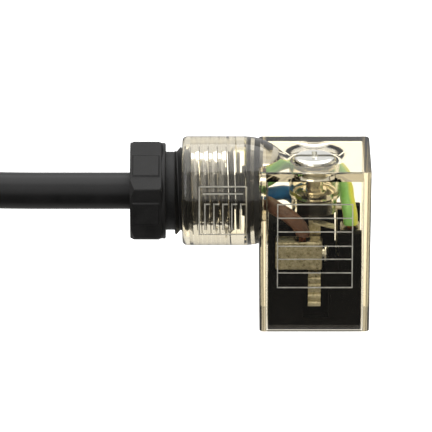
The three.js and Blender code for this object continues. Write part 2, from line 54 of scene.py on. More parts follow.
camera = bpy.data.objects.new("camera", camera_data)
bpy.context.scene.collection.objects.link(camera)
camera_back = Vector((0, -math.cos(math.radians(camera_height_deg)),
                      math.sin(math.radians(camera_height_deg))))
camera.location = aim + camera_back * camera_distance
camera.rotation_euler = (math.radians(90 - camera_height_deg), 0, 0)
bpy.context.scene.camera = camera


# ---- Studio light and floor ----------------------------------------------------------------------
# A wide soft box overhead, a smaller one at the front left, and a pale room around them.
# The floor is a white sheet with an even glow of its own that the plug and its cable lie on; how it looks
# in mirrored rays and through the clear walls is painted.
bpy.context.scene.view_settings.view_transform = "Standard"
world = bpy.data.worlds.new("room")
bpy.context.scene.world = world
world.use_nodes = True
room = world.node_tree
room_shade = room.nodes["Background"]
room_shade.inputs["Strength"].default_value = 0.8
room_way = room.nodes.new("ShaderNodeTexCoord")
room_split = room.nodes.new("ShaderNodeSeparateXYZ")
room_ramp = room.nodes.new("ShaderNodeValToRGB")
room_ramp.color_ramp.elements[0].position = 0.0
room_ramp.color_ramp.elements[0].color = (0.95, 0.94, 0.92, 1)
room_ramp.color_ramp.elements[1].position = 0.35
room_ramp.color_ramp.elements[1].color = (1.0, 1.0, 1.0, 1)
room.links.new(room_way.outputs["Generated"], room_split.inputs["Vector"])
room.links.new(room_split.outputs["Z"], room_ramp.inputs["Fac"])
room.links.new(room_ramp.outputs["Color"], room_shade.inputs["Color"])


def soft_box(name, place, target, size, power):
    """A square soft box that faces a target."""
    lamp = bpy.data.lights.new(name, "AREA")
    lamp.shape = "SQUARE"
    lamp.size = size
    lamp.energy = power
    holder = bpy.data.objects.new(name, lamp)
    bpy.context.scene.collection.objects.link(holder)
    holder.location = place
    look = Vector(target) - Vector(place)
    holder.rotation_euler = look.to_track_quat("-Z", "Y").to_euler()


lit_point = (0, 0, 0.01)
soft_box("overhead_box", (-0.02, 0.12, 0.75), lit_point, 1.1, 7.0)
soft_box("front_left_box", (-0.45, -0.55, 0.42), lit_point, 0.7, 3.0)


def surface(name):
    """A new material, its node tree and its Principled shader."""
    material = bpy.data.materials.new(name)
    material.use_nodes = True
    tree = material.node_tree
    shader = tree.nodes["Principled BSDF"]
    return material, tree, shader


def colour(code, alpha=1.0):
    """An RGB code such as "4b4a47" as the linear colour that the shaders take."""
    parts = [int(code[k:k + 2], 16) / 255 for k in (0, 2, 4)]
    return [p / 12.92 if p <= 0.04045 else ((p + 0.055) / 1.055) ** 2.4 for p in parts] + [alpha]


SCREW_AXIS_X = 9.125      # the fixing screw's axis in the part's frame; sizes below count from it
floor_drop = 0.15         # the sheet lies just under the housing's open edge
floor_size = 2.5
floor_mesh = bpy.data.meshes.new("floor")
floor_form = bmesh.new()
bmesh.ops.create_grid(floor_form, x_segments=2, y_segments=2, size=floor_size)
bmesh.ops.translate(floor_form, vec=(0, 0, -floor_drop * MM), verts=floor_form.verts)
floor_form.to_mesh(floor_mesh)
floor_form.free()
floor = bpy.data.objects.new("floor", floor_mesh)
bpy.context.scene.collection.objects.link(floor)
floor_material, floor_tree, floor_shader = surface("white_sheet")
floor_noise = floor_tree.nodes.new("ShaderNodeTexNoise")
floor_noise.inputs["Scale"].default_value = 6.0
floor_ramp = floor_tree.nodes.new("ShaderNodeValToRGB")
floor_ramp.color_ramp.elements[0].color = (0.93, 0.93, 0.93, 1)
floor_ramp.color_ramp.elements[1].color = (0.96, 0.96, 0.96, 1)
floor_tree.links.new(floor_noise.outputs["Fac"], floor_ramp.inputs["Fac"])
floor_tree.links.new(floor_ramp.outputs["Color"], floor_shader.inputs["Base Color"])
floor_shader.inputs["Roughness"].default_value = 0.9
floor_shader.inputs["Specular IOR Level"].default_value = 0.1
floor_shader.inputs["Emission Color"].default_value = (1, 1, 1, 1)
floor_shader.inputs["Emission Strength"].default_value = 0.35

# Painted reflection and painted light: in mirrored rays the sheet is swapped for a glow, dull as a dark
# studio is, darkest in front of the plug and brighter behind it; seen through the clear walls it is
# brighter, and under the walls, for any ray that came through them, it is brightest.
front_edge_y = -9.0
plug_half_x = 8.3
plug_half_y = 7.6
painted_base_glow = 0.1
painted_behind_glow = 0.4
painted_wall_glow = 0.5
painted_inner_glow = 0.22
# Painted reflection and painted light: an emission that stands in for the floor in mirrored rays and under
# the walls.
painted_reflection_sheet = floor_tree.nodes.new("ShaderNodeEmission")
painted_reflection_sheet.inputs["Color"].default_value = (1.0, 0.99, 0.96, 1)
floor_rays = floor_tree.nodes.new("ShaderNodeLightPath")
painted_floor_choice = floor_tree.nodes.new("ShaderNodeMixShader")
floor_place = floor_tree.nodes.new("ShaderNodeTexCoord")
floor_split = floor_tree.nodes.new("ShaderNodeSeparateXYZ")
floor_tree.links.new(floor_place.outputs["Object"], floor_split.inputs["Vector"])


def floor_maths(operation, first, second):
    """A maths node on the floor's tree; each input is a socket or a number."""
    step = floor_tree.nodes.new("ShaderNodeMath")
    step.operation = operation
    for socket, value in zip(step.inputs, (first, second)):
        if isinstance(value, float):
            socket.default_value = value
        else:
            floor_tree.links.new(value, socket)
    return step.outputs["Value"]


mirrored = floor_maths("GREATER_THAN", floor_rays.outputs["Glossy Depth"], 0.5)
passes = floor_rays.outputs["Transmission Depth"]
in_plastic = floor_maths("GREATER_THAN", passes, 0.5)
off_inner_parts = floor_maths("GREATER_THAN", passes, 2.5)
place_x, place_y = floor_split.outputs["X"], floor_split.outputs["Y"]
behind = floor_maths("GREATER_THAN", place_y, front_edge_y * MM)
from_axis = floor_maths("ABSOLUTE", floor_maths("SUBTRACT", place_x, SCREW_AXIS_X * MM), 0.0)
under_x = floor_maths("LESS_THAN", from_axis, plug_half_x * MM)
under_y = floor_maths("LESS_THAN", floor_maths("ABSOLUTE", place_y, 0.0), plug_half_y * MM)
under_plug = floor_maths("MULTIPLY", floor_maths("MULTIPLY", under_x, under_y), in_plastic)
# The glow's strength is painted light, set by place and by how many clear surfaces the ray has passed.
glow = floor_maths("ADD", floor_maths("MULTIPLY", behind, painted_behind_glow),
                   floor_maths("MULTIPLY", floor_maths("MULTIPLY", behind, in_plastic), painted_wall_glow))
glow = floor_maths("ADD", glow, floor_maths("MULTIPLY", off_inner_parts, painted_inner_glow))
floor_tree.links.new(floor_maths("ADD", glow, painted_base_glow), painted_reflection_sheet.inputs["Strength"])
# Mirrored rays, and rays through the walls that land under the plug, see the painted glow instead of the
# lit sheet.
floor_tree.links.new(floor_maths("MAXIMUM", mirrored, under_plug), painted_floor_choice.inputs["Fac"])
floor_tree.links.new(floor_shader.outputs["BSDF"], painted_floor_choice.inputs[1])
floor_tree.links.new(painted_reflection_sheet.outputs["Emission"], painted_floor_choice.inputs[2])
floor_tree.links.new(painted_floor_choice.outputs["Shader"], floor_tree.nodes["Material Output"].inputs["Surface"])
floor_mesh.materials.append(floor_material)


# ---- Cable ---------------------------------------------------------------------------------------
# A round three-core control cable in a satin black PVC sheath, pressed onto the cores as they leave
# the extruder. It comes straight out of the gland nut; its spare length is folded into a hank.
cable_radius = 2.65
cable_axis_z = 18.8
cable_inner_end = -7.95
nut_face_x = -26.25
hank_layer = 5.36
hank_floor_z = 3.57
outer_legs = (0.0, 42.5)
inner_legs = (5.36, 37.14)
far_fold_x = -109.1
near_fold_outer_x = -75.9
near_fold_cross_x = -79.0
near_fold_inner_x = -85.0
last_leg_x = -95.0
sheath_end_x = -123.9
run_start_x = -12
run_end_x = -76
rise_start_x = -40        # from here the run climbs to the hank's top layer
rise_length = 32
route_step = 4


def grain_group():
    """Fine moulding or extrusion grain: a height for a bump, and a slow mask for shade and gloss."""
    group = bpy.data.node_groups.new("fine_grain", "ShaderNodeTree")
    face = group.interface
    face.new_socket("Grain Scale", in_out="INPUT", socket_type="NodeSocketFloat")
    face.new_socket("Cloud Scale", in_out="INPUT", socket_type="NodeSocketFloat")
    face.new_socket("Height", in_out="OUTPUT", socket_type="NodeSocketFloat")
    face.new_socket("Cloud", in_out="OUTPUT", socket_type="NodeSocketFloat")
    enter = group.nodes.new("NodeGroupInput")
    leave = group.nodes.new("NodeGroupOutput")
    way = group.nodes.new("ShaderNodeTexCoord")
    fine = group.nodes.new("ShaderNodeTexNoise")
    fine.inputs["Detail"].default_value = 4.0
    slow = group.nodes.new("ShaderNodeTexNoise")
    slow.inputs["Detail"].default_value = 6.0
    slow.inputs["Roughness"].default_value = 0.62
    group.links.new(way.outputs["Object"], fine.inputs["Vector"])
    group.links.new(way.outputs["Object"], slow.inputs["Vector"])
    group.links.new(enter.outputs["Grain Scale"], fine.inputs["Scale"])
    group.links.new(enter.outputs["Cloud Scale"], slow.inputs["Scale"])
    group.links.new(fine.outputs["Fac"], leave.inputs["Height"])
    group.links.new(slow.outputs["Fac"], leave.inputs["Cloud"])
    return group


FINE_GRAIN = grain_group()


def worked_finish(name, dark, light, gloss, grain=9000.0, cloud=220.0, lift=0.02, **sockets):
    """A solid finish: shade and gloss drift between two values, and a fine grain lifts the surface."""
    material, tree, shader = surface(name)
    source = tree.nodes.new("ShaderNodeGroup")
    source.node_tree = FINE_GRAIN
    source.inputs["Grain Scale"].default_value = grain
    source.inputs["Cloud Scale"].default_value = cloud
    shade = tree.nodes.new("ShaderNodeValToRGB")
    shade.color_ramp.elements[0].position = 0.3
    shade.color_ramp.elements[0].color = colour(dark)
    shade.color_ramp.elements[1].position = 0.7
    shade.color_ramp.elements[1].color = colour(light)
    sheen = tree.nodes.new("ShaderNodeMapRange")
    sheen.inputs["From Min"].default_value = 0.3
    sheen.inputs["From Max"].default_value = 0.7
    sheen.inputs["To Min"].default_value = gloss[0]
    sheen.inputs["To Max"].default_value = gloss[1]
    bump = tree.nodes.new("ShaderNodeBump")
    bump.inputs["Strength"].default_value = 0.5
    bump.inputs["Distance"].default_value = lift * MM
    tree.links.new(source.outputs["Cloud"], shade.inputs["Fac"])
    tree.links.new(shade.outputs["Color"], shader.inputs["Base Color"])
    tree.links.new(source.outputs["Cloud"], sheen.inputs["Value"])
    tree.links.new(sheen.outputs["Result"], shader.inputs["Roughness"])
    tree.links.new(source.outputs["Height"], bump.inputs["Height"])
    tree.links.new(bump.outputs["Normal"], shader.inputs["Normal"])
    for socket, value in sockets.items():
        shader.inputs[socket.replace("_", " ")].default_value = value
    return material


black_sheath = worked_finish("black_sheath", "080808", "100f0f", (0.3, 0.4), grain=4200.0,
                             cloud=160.0, lift=0.015, Specular_IOR_Level=0.3)


def eased(share):
    """A share from 0 to 1 that starts and stops gently."""
    share = min(max(share, 0.0), 1.0)
    return share * share * (3 - 2 * share)


def fold(start_y, end_y, centre_x, side, start_z, end_z, steps=24):
    """Points round one fold of the hank, which may step down a layer between two angles."""
    drop_start_deg, drop_arc_deg = 15, 105
    reach = abs(end_y - start_y) / 2
    middle = (start_y + end_y) / 2
    points = []
    for k in range(steps + 1):
        turn = math.pi * k / steps
        drop = eased((math.degrees(turn) - drop_start_deg) / drop_arc_deg)
        points.append((centre_x + side * reach * math.sin(turn),
                       middle + (start_y - middle) * math.cos(turn),
                       start_z + (end_z - start_z) * drop))
    return points


def cable_route():
    """The middle of the cable, from its stripped end inside the gland to the end of its sheath."""
    outer, inner = outer_legs, inner_legs
    top_z = hank_floor_z + 3 * hank_layer
    points = [(cable_inner_end, 0, cable_axis_z)]
    for x in range(run_start_x, run_end_x, -route_step):
        rise = (top_z - cable_axis_z) * eased((rise_start_x - x) / rise_length)
        points.append((x, 0, cable_axis_z + rise))
    outer_first = [(outer[0], outer[1], far_fold_x, -1, 0), (outer[1], inner[0], near_fold_cross_x, 1, 0),
                   (inner[0], inner[1], far_fold_x, -1, 0), (inner[1], inner[0], near_fold_inner_x, 1, 1)]
    inner_first = [(inner[0], inner[1], far_fold_x, -1, 0), (inner[1], outer[0], near_fold_cross_x, 1, 0),
                   (outer[0], outer[1], far_fold_x, -1, 0), (outer[1], outer[0], near_fold_outer_x, 1, 1)]
    last = [(inner[0], outer[1], far_fold_x, -1, 0), (outer[1], outer[0], near_fold_outer_x, 1, 0)]
    for layer, folds in ((3, outer_first), (2, inner_first), (1, outer_first), (0, last)):
        for start_y, end_y, centre_x, side, down in folds:
            points += fold(start_y, end_y, centre_x, side, hank_floor_z + layer * hank_layer,
                           hank_floor_z + (layer - down) * hank_layer)
    points += [(last_leg_x, 0, hank_floor_z), (sheath_end_x, 0, hank_floor_z)]
    close = [points[0]]
    for here, there in zip(points, points[1:]):
        parts = max(1, int(math.dist(here, there) // route_step))
        for k in range(1, parts + 1):
            close.append(tuple(a + (b - a) * k / parts for a, b in zip(here, there)))
    return close


def placed(point):
    """A point in millimetres from the screw's axis, as metres in the part's frame."""
    return Vector((point[0] + SCREW_AXIS_X, point[1], point[2])) * MM


def round_cord(name, points, radius, material, detail=6):
    """A round cord of one open spline through the points, closed at both ends."""
    curve = bpy.data.curves.new(name, "CURVE")
    curve.dimensions = "3D"
    curve.bevel_depth = radius * MM
    curve.bevel_resolution = detail
    curve.use_fill_caps = True
    line = curve.splines.new("POLY")
    line.points.add(len(points) - 1)
    for knot, point in zip(line.points, points):
        knot.co = (*placed(point), 1)
        knot.radius = 1.0
    line.use_smooth = True
    curve.materials.append(material)
    cord = bpy.data.objects.new(name, curve)
    bpy.context.scene.collection.objects.link(cord)
    return cord


route = cable_route()
cable = round_cord("cable", route, cable_radius, black_sheath, detail=7)
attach(cable, "plug")
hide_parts("cable_run", "cable_hank", "cable_sheath_end")


# ---- Tie round the hank --------------------------------------------------------------------------
# A flat black rubber band that holds the folded cable for storage.
# It is cut from sheet and stands on the floor under the lowest layer.
soft_rubber = worked_finish("black_rubber", "0d0d0c", "171615", (0.55, 0.75), grain=5200.0, cloud=400.0)


def keep_bevelled(piece_name, node, width, material, body, segments=3, spread=30):
    """A finer piece from a CAD node's own shape: flat faces whole again, and every edge rounded."""
    form = bmesh.new()
    form.from_mesh(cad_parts[node].data)
    bmesh.ops.remove_doubles(form, verts=form.verts, dist=0.002 * MM)
    bmesh.ops.dissolve_limit(form, angle_limit=math.radians(1.0), verts=form.verts, edges=form.edges)
    mesh = bpy.data.meshes.new(piece_name)
    form.to_mesh(mesh)
    form.free()
    mesh.materials.clear()
    mesh.materials.append(material)
    for polygon in mesh.polygons:
        polygon.material_index = 0
        polygon.use_smooth = True
    piece = bpy.data.objects.new(piece_name, mesh)
    bpy.context.scene.collection.objects.link(piece)
    soften = piece.modifiers.new("rounded_edges", "BEVEL")
    soften.width = width * MM
    soften.segments = segments
    soften.limit_method = "ANGLE"
    soften.angle_limit = math.radians(spread)
    soften.harden_normals = True
    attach(piece, body)
    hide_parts(node)
    return piece


hank_band = keep_bevelled("hank_band", "hank_tie", 0.2, soft_rubber, "plug")


# ---- Stripped cores at the far end ---------------------------------------------------------------
# Three PVC-covered cores leave the cut sheath: brown and blue for the coil, green and yellow for earth.
# Each ends in a crimped wire-end ferrule of tinned copper.
core_radius = 1.05
core_detail = 5
core_sides = 2 * (core_detail + 2)
stripe_sides = (1, 2, 3, 8, 9, 10)   # which of the tube's sides the two yellow stripes cover


def core_finish(name, dark, light):
    """Smooth PVC in one core's colour."""
    return worked_finish(name, dark, light, (0.3, 0.42), grain=6000.0, cloud=500.0, lift=0.01)


core_paint = {
    "brown": core_finish("core_brown", "38241a", "5e4031"),
    "blue": core_finish("core_blue", "1f66ac", "2f86d0"),
    "green_yellow": core_finish("core_green", "68a84c", "8cc474"),
}
striped_core = core_paint["green_yellow"]
stripe_tree = striped_core.node_tree
stripe_shader = stripe_tree.nodes["Principled BSDF"]
stripe_green = stripe_shader.inputs["Base Color"].links[0].from_socket
stripe_mark = stripe_tree.nodes.new("ShaderNodeAttribute")
stripe_mark.attribute_name = "stripe"
stripe_mix = stripe_tree.nodes.new("ShaderNodeMix")
stripe_mix.data_type = "RGBA"
stripe_mix.inputs["B"].default_value = colour("c9cf4a")
stripe_tree.links.new(stripe_mark.outputs["Fac"], stripe_mix.inputs["Factor"])
stripe_tree.links.new(stripe_green, stripe_mix.inputs["A"])
stripe_tree.links.new(stripe_mix.outputs["Result"], stripe_shader.inputs["Base Color"])
tinned_copper = worked_finish("tinned_copper", "a9adaf", "d5d8da", (0.22, 0.34), grain=3000.0,
                              cloud=700.0, Metallic=1.0)


def smooth_path(points, step=0.5):
    """Points close together on a smooth line through the given ones."""
    ends = [points[0], *points, points[-1]]
    line = []
    for before, here, there, after in zip(ends, ends[1:], ends[2:], ends[3:]):
        parts = max(2, int(math.dist(here, there) / step))
        for k in range(parts):
            t = k / parts
            line.append(tuple(
                0.5 * (2 * b + (c - a) * t + (2 * a - 5 * b + 4 * c - d) * t * t
                       + (3 * b - a - 3 * c + d) * t ** 3)
                for a, b, c, d in zip(before, here, there, after)))
    line.append(tuple(points[-1]))
    return line


def core_tube(name, points, colour_name, node):
    """A covered core as a mesh tube; the earth core carries two yellow stripes along it."""
    draft = round_cord(name + "_draft", smooth_path(points), core_radius, core_paint[colour_name],
                       core_detail)
    view = bpy.context.evaluated_depsgraph_get()
    mesh = bpy.data.meshes.new_from_object(draft.evaluated_get(view))
    mesh.name = name
    marks = mesh.attributes.new("stripe", "FLOAT", "POINT")
    for k, mark in enumerate(marks.data):
        mark.value = 1.0 if k % core_sides in stripe_sides else 0.0
    bpy.data.objects.remove(draft)
    tube = bpy.data.objects.new(name, mesh)
    bpy.context.scene.collection.objects.link(tube)
    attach(tube, "plug")
    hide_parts(node)
    return tube


def spun(name, profile, axis, steps=64):
    """A turned form: (radius, height) points spun once round the axis, closed on it at both ends."""
    form = bmesh.new()
    points = [form.verts.new((radius, 0, height)) for radius, height in profile]
    edges = [form.edges.new(pair) for pair in zip(points, points[1:])]
    bmesh.ops.spin(form, geom=points + edges, cent=(0, 0, 0), axis=(0, 0, 1), dvec=(0, 0, 0),
                   angle=math.tau, steps=steps, use_merge=True)
    bmesh.ops.remove_doubles(form, verts=form.verts, dist=0.0005)
    if axis == "X":
        bmesh.ops.rotate(form, cent=(0, 0, 0), matrix=Matrix.Rotation(math.pi / 2, 3, "Y"),
                         verts=form.verts)
    bmesh.ops.recalc_face_normals(form, faces=form.faces)
    return form


def piece_from(form, name, material, sharp=32, weighted=True):
    """A finished object from a form in millimetres counted from the screw's axis."""
    bmesh.ops.translate(form, vec=(SCREW_AXIS_X, 0, 0), verts=form.verts)
    bmesh.ops.scale(form, vec=(MM, MM, MM), verts=form.verts)
    mesh = bpy.data.meshes.new(name)
    form.to_mesh(mesh)
    form.free()
    mesh.materials.append(material)
    for polygon in mesh.polygons:
        polygon.use_smooth = True
    mesh.set_sharp_from_angle(angle=math.radians(sharp))
    piece = bpy.data.objects.new(name, mesh)
    bpy.context.scene.collection.objects.link(piece)
    if weighted:
        even = piece.modifiers.new("even_normals", "WEIGHTED_NORMAL")
        even.keep_sharp = True
    return piece


tails = {"brown": ((-1.1, 3.0), (-3.2, 1.4)), "blue": ((0, 4.9), (0, 1.5)),
         "green_yellow": ((1.1, 3.0), (3.2, 1.4))}
ferrule_start_x = -134.8
end_pieces = []
for core, ((y0, z0), (y1, z1)) in tails.items():
    halfway = (-129.5, (y0 + y1) / 2, (z0 + z1) / 2)
    tail = core_tube("tail_core_" + core, [(sheath_end_x, y0, z0), (-125.5, y0, z0), halfway,
                     (-133, y1, z1), (-134.5, y1, z1)], core, "tail_" + core)
    sleeve = spun("sleeve", [(0, 0), (1.22, 0), (1.3, -0.12), (1.3, -1.7), (0.95, -2.0), (0.75, -2.15),
                  (0.75, -7.85), (0.68, -8.0), (0.52, -8.0), (0.52, -7.6), (0, -7.6)], "X", 32)
    bmesh.ops.translate(sleeve, vec=(ferrule_start_x, y1, z1), verts=sleeve.verts)
    tip = piece_from(sleeve, "wire_end_" + core, tinned_copper)
    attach(tip, "plug")
    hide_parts("ferrule_" + core)
    end_pieces += [tail, tip]


# ---- Clear housing -------------------------------------------------------------------------------
# One injection moulding in clear polycarbonate, slightly amber where it is thick: a deep cap over the
# contacts, a threaded barrel for the gland, and a boss down the middle for the fixing screw.
cap_x, cap_y, cap_z = 8.0, 7.3, 24.4
cap_lean = 0.18
cavity_x, cavity_y, cavity_z = 6.95, 6.45, 22.8
barrel_radius = 7.8
barrel_mouth_x = -18.85
barrel_dome_x = -10.0
thread_pitch = 1.27
thread_start_x = -17.8
thread_end_x = -11.1
chamber_end_x = -7.6
seal_start_x = -9.72
seal_bore_radius = 5.88   # a little under the seal, which is squeezed against the wall


def clear_finish():
    """Clear polycarbonate: slightly wavy and tinted, amber in its depth, and letting shadows through."""
    material, tree, shader = surface("clear_polycarbonate")
    source = tree.nodes.new("ShaderNodeGroup")
    source.node_tree = FINE_GRAIN
    source.inputs["Grain Scale"].default_value = 380.0
    source.inputs["Cloud Scale"].default_value = 120.0
    tint = tree.nodes.new("ShaderNodeValToRGB")
    tint.color_ramp.elements[0].color = colour("f7f0de")
    tint.color_ramp.elements[1].color = colour("fcf8ec")
    gloss = tree.nodes.new("ShaderNodeMapRange")
    gloss.inputs["To Min"].default_value = 0.015
    gloss.inputs["To Max"].default_value = 0.05
    ripple = tree.nodes.new("ShaderNodeBump")
    ripple.inputs["Strength"].default_value = 0.25
    ripple.inputs["Distance"].default_value = 0.012 * MM
    body_tint = tree.nodes.new("ShaderNodeVolumeAbsorption")
    body_tint.inputs["Color"].default_value = (0.64, 0.52, 0.2, 1)
    body_tint.inputs["Density"].default_value = 62.0
    rays = tree.nodes.new("ShaderNodeLightPath")
    open_way = tree.nodes.new("ShaderNodeBsdfTransparent")
    open_way.inputs["Color"].default_value = (0.97, 0.96, 0.93, 1)
    choice = tree.nodes.new("ShaderNodeMixShader")
    tree.links.new(rays.outputs["Is Shadow Ray"], choice.inputs["Fac"])
    tree.links.new(shader.outputs["BSDF"], choice.inputs[1])
    tree.links.new(open_way.outputs["BSDF"], choice.inputs[2])
    tree.links.new(choice.outputs["Shader"], tree.nodes["Material Output"].inputs["Surface"])
    tree.links.new(source.outputs["Cloud"], tint.inputs["Fac"])
    tree.links.new(tint.outputs["Color"], shader.inputs["Base Color"])
    tree.links.new(source.outputs["Cloud"], gloss.inputs["Value"])
    tree.links.new(gloss.outputs["Result"], shader.inputs["Roughness"])
    tree.links.new(source.outputs["Height"], ripple.inputs["Height"])
    tree.links.new(ripple.outputs["Normal"], shader.inputs["Normal"])
    tree.links.new(body_tint.outputs["Volume"], tree.nodes["Material Output"].inputs["Volume"])
    shader.inputs["Transmission Weight"].default_value = 1.0
    shader.inputs["IOR"].default_value = 1.47
    shader.inputs["Specular IOR Level"].default_value = 0.15
    return material


def rounded_block(x, y, z0, z1, corner, top_edge=0.0):
    """An upright block centred on the screw's axis, its four corners rounded, and its top edge if asked."""
    form = bmesh.new()
    bmesh.ops.create_cube(form, size=1.0)
    bmesh.ops.scale(form, vec=(2 * x, 2 * y, z1 - z0), verts=form.verts)
    bmesh.ops.translate(form, vec=(0, 0, (z0 + z1) / 2), verts=form.verts)
    upright = [e for e in form.edges if abs(e.verts[0].co.z - e.verts[1].co.z) > 0.1]
    bmesh.ops.bevel(form, geom=upright, offset=corner, offset_type="OFFSET", segments=6, profile=0.5,
                    affect="EDGES", material=-1)
    if top_edge:
        rim = [e for e in form.edges if all(abs(v.co.z - z1) < 0.001 for v in e.verts)]
        bmesh.ops.bevel(form, geom=rim, offset=top_edge, offset_type="OFFSET", segments=3, profile=0.5,
                        affect="EDGES", material=-1)
    return form


def threaded_form(pitch, root, crest, start, end, steps=48, along="X"):
    """A solid threaded rod on the X axis: one tooth's outline carried round and along by a spin."""
    form = bmesh.new()
    outline = [(0.0, root), (0.1, root), (0.5, crest), (0.6, crest), (1.0, root)]
    first = math.floor(start / pitch) - 2
    turns = math.ceil(end / pitch) + 2 - first
    points = [form.verts.new(((share + first) * pitch, 0, -radius)) for share, radius in outline]
    edges = [form.edges.new(pair) for pair in zip(points, points[1:])]
    bmesh.ops.spin(form, geom=points + edges, cent=(0, 0, 0), axis=(1, 0, 0),
                   dvec=(pitch / steps, 0, 0), angle=math.tau * turns, steps=steps * turns)
    bmesh.ops.remove_doubles(form, verts=form.verts, dist=0.0005)
    for x, keep in ((start, 1), (end, -1)):
        cut = bmesh.ops.bisect_plane(form, geom=form.verts[:] + form.edges[:] + form.faces[:],
                                     plane_co=(x, 0, 0), plane_no=(keep, 0, 0), clear_inner=True)
        rim = [e for e in cut["geom_cut"] if isinstance(e, bmesh.types.BMEdge)]
        bmesh.ops.holes_fill(form, edges=rim, sides=0)
    bmesh.ops.recalc_face_normals(form, faces=form.faces)
    if along == "Z":
        bmesh.ops.rotate(form, cent=(0, 0, 0), matrix=Matrix.Rotation(-math.pi / 2, 3, "Y"),
                         verts=form.verts)
    return form


def worked(base, *steps):
    """A form after other forms are joined to it or cut from it, in the order given."""
    def laid_out(form):
        mesh = bpy.data.meshes.new("form")
        form.to_mesh(mesh)
        form.free()
        thing = bpy.data.objects.new("form", mesh)
        bpy.context.scene.collection.objects.link(thing)
        return thing

    body = laid_out(base)
    tools = []
    for operation, form in steps:
        tool = laid_out(form)
        step = body.modifiers.new("step", "BOOLEAN")
        step.operation = operation
        step.solver = "EXACT"
        step.object = tool
        tools.append(tool)
    view = bpy.context.evaluated_depsgraph_get()
    result = bmesh.new()
    result.from_mesh(body.evaluated_get(view).to_mesh())
    for thing in (body, *tools):
        bpy.data.objects.remove(thing)
    bmesh.ops.remove_doubles(result, verts=result.verts, dist=0.0008)
    bmesh.ops.dissolve_degenerate(result, edges=result.edges, dist=0.0008)
    bmesh.ops.holes_fill(result, edges=[e for e in result.edges if e.is_boundary], sides=0)
    return result


def on_cable_axis(form):
    """A form made on the X axis, lifted to the cable's axis."""
    bmesh.ops.translate(form, vec=(0, 0, cable_axis_z), verts=form.verts)
    return form


def box_form(x0, x1, y0, y1, z0, z1, round_off=0.0):
    """A box between two corners, with all its edges rounded if asked."""
    form = bmesh.new()
    bmesh.ops.create_cube(form, size=1.0)
    bmesh.ops.scale(form, vec=(x1 - x0, y1 - y0, z1 - z0), verts=form.verts)
    bmesh.ops.translate(form, vec=((x0 + x1) / 2, (y0 + y1) / 2, (z0 + z1) / 2), verts=form.verts)
    if round_off:
        bmesh.ops.bevel(form, geom=form.edges[:], offset=round_off, offset_type="OFFSET", segments=2,
                        profile=0.5, affect="EDGES", material=-1)
    return form


cap = rounded_block(cap_x, cap_y, 0, cap_z, 0.7, 0.28)
for corner in cap.verts:
    lean = cap_lean * (1 - corner.co.z / cap_z)
    corner.co.x *= 1 - lean / cap_x
    corner.co.y *= 1 - lean / cap_y
dome = [(barrel_radius * math.cos(math.radians(a)),
         barrel_dome_x + barrel_radius * math.sin(math.radians(a))) for a in range(0, 90, 6)]
barrel = on_cable_axis(spun("barrel", [(0, barrel_mouth_x), (7.25, barrel_mouth_x),
                       (7.5, barrel_mouth_x + 0.1), (7.72, barrel_mouth_x + 0.35),
                       (barrel_radius, barrel_mouth_x + 0.7), *dome, (0, barrel_dome_x + barrel_radius)],
                       "X", 128))
bore_thread = on_cable_axis(threaded_form(thread_pitch, 5.84, 6.45, thread_start_x - 0.6, thread_end_x))
chamber = on_cable_axis(spun("chamber", [(0, thread_end_x - 0.9), (6.25, thread_end_x - 0.9),
                        (6.25, seal_start_x - 0.3), (seal_bore_radius, seal_start_x),
                        (seal_bore_radius, chamber_end_x), (0, chamber_end_x)], "X", 96))
mouth = on_cable_axis(spun("mouth", [(0, barrel_mouth_x - 1), (6.65, barrel_mouth_x - 1),
                      (6.65, thread_start_x), (0, thread_start_x)], "X", 96))
core_way = on_cable_axis(spun("core_way", [(0, chamber_end_x - 1), (3.6, chamber_end_x - 1),
                         (3.6, -cavity_x + 1), (0, -cavity_x + 1)], "X", 64))
boss = spun("boss", [(0, 16.15), (3.25, 16.15), (3.25, 18.0), (3.6, 18.3), (3.6, cavity_z + 0.3),
            (0, cavity_z + 0.3)], "Z", 96)
screw_way = spun("screw_way", [(0, 15.15), (2.8, 15.15), (2.8, 18.4), (1.8, 18.4), (1.8, 19.3),
                 (3.1, 19.3), (3.1, cap_z - 0.8), (3.9, cap_z - 0.8), (5.2, cap_z), (5.2, cap_z + 4),
                 (0, cap_z + 4)], "Z", 96)


def label_frame():
    """A blank raised frame with five rules across it, on the front face."""
    form = bmesh.new()
    width, line, inside = 0.15, 0.065, 0.17
    left, right, low, high = -5.37, 5.40, 6.76, 19.67
    bars = [(left, left + width, low, high), (right - width, right, low, high),
            (left + inside, right - inside, low, low + width),
            (left + inside, right - inside, high - width, high)]
    bars += [(left + inside, right - inside, z - line, z + line) for z in (9.1, 11.2, 13.2, 15.4, 17.5)]
    for x0, x1, z0, z1 in bars:
        made = bmesh.ops.create_cube(form, size=1.0)["verts"]
        bmesh.ops.scale(form, vec=(x1 - x0, 0.11, z1 - z0), verts=made)
        bmesh.ops.translate(form, vec=((x0 + x1) / 2, -cap_y - 0.06, (z0 + z1) / 2), verts=made)
    for corner in form.verts:
        corner.co.y += cap_lean * (1 - corner.co.z / cap_z)
    return form


def barrel_mark(inner, outer):
    """A blank frame with a row of short bars in it, laid round the barrel's front."""
    form = bmesh.new()

    def groove(x0, x1, low_deg, high_deg):
        start = math.radians(low_deg)
        ring = [form.verts.new((x, -r * math.cos(start), r * math.sin(start)))
                for x, r in ((x0, inner), (x1, inner), (x1, outer), (x0, outer))]
        face = form.faces.new(ring)
        arc = high_deg - low_deg
        bmesh.ops.spin(form, geom=[face, *ring, *face.edges], cent=(0, 0, 0), axis=(1, 0, 0),
                       dvec=(0, 0, 0), angle=-math.radians(arc), steps=max(2, int(abs(arc) / 4)))

    groove(-16.5, -16.3, -32, 26)
    groove(-9.83, -9.63, -32, 26)
    groove(-16.28, -9.85, 25, 26.5)
    groove(-16.28, -9.85, -32, -30.5)
    groove(-15.9, -10.2, 17.5, 19)
    for k in range(5):
        x = -15.7 + 1.27 * k
        groove(x, x + 0.18, -24, 8)
        groove(x + 0.22, x + 0.85, 6.5, 8)
    bmesh.ops.recalc_face_normals(form, faces=form.faces)
    return form


